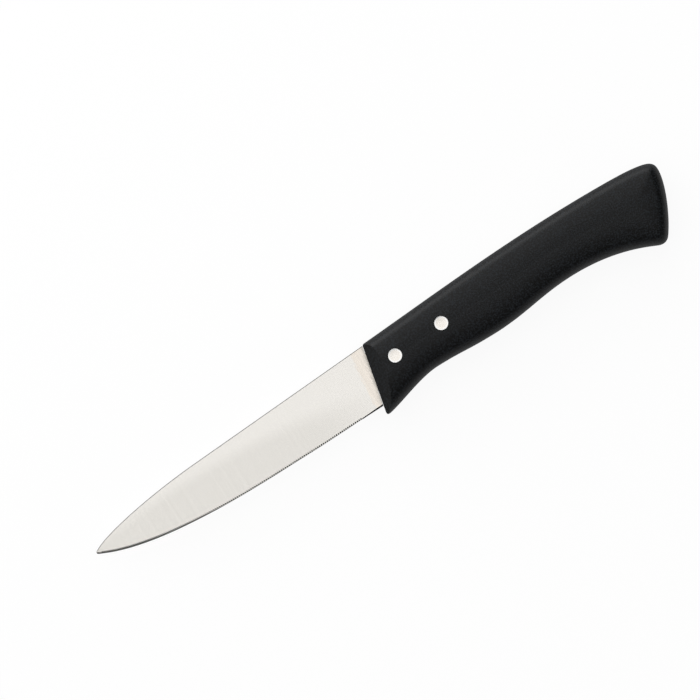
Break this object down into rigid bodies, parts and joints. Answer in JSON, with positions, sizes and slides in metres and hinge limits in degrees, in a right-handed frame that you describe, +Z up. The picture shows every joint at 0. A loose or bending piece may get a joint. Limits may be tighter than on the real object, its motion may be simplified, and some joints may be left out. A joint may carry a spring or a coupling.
{
  "type": "serrated utility knife",
  "caption": "Fixed-blade kitchen utility knife: a finely serrated stainless blade whose hidden tang is riveted into a contoured black moulded handle.",
  "frame": {"origin": "under the middle of the knife's length and height, on the surface that the side of its handle lies on", "axes": "+X along the straight cutting edge towards the butt, +Y from the cutting edge towards the spine, +Z up through the thickness from the side that the knife lies on"},
  "size_m": [0.2116, 0.0262, 0.014],
  "materials": {
    "blade_steel": "satin, ground across the blade",
    "handle_plastic": "fine matte moulded grain",
    "rivet_steel": "ground flush and polished"
  },
  "bodies": {
    "root": {"blade": "blade_steel", "handle": "handle_plastic", "front_rivet_pin": "rivet_steel", "front_rivet_barrel": "rivet_steel", "rear_rivet_pin": "rivet_steel", "rear_rivet_barrel": "rivet_steel"}
  },
  "joints": []
}
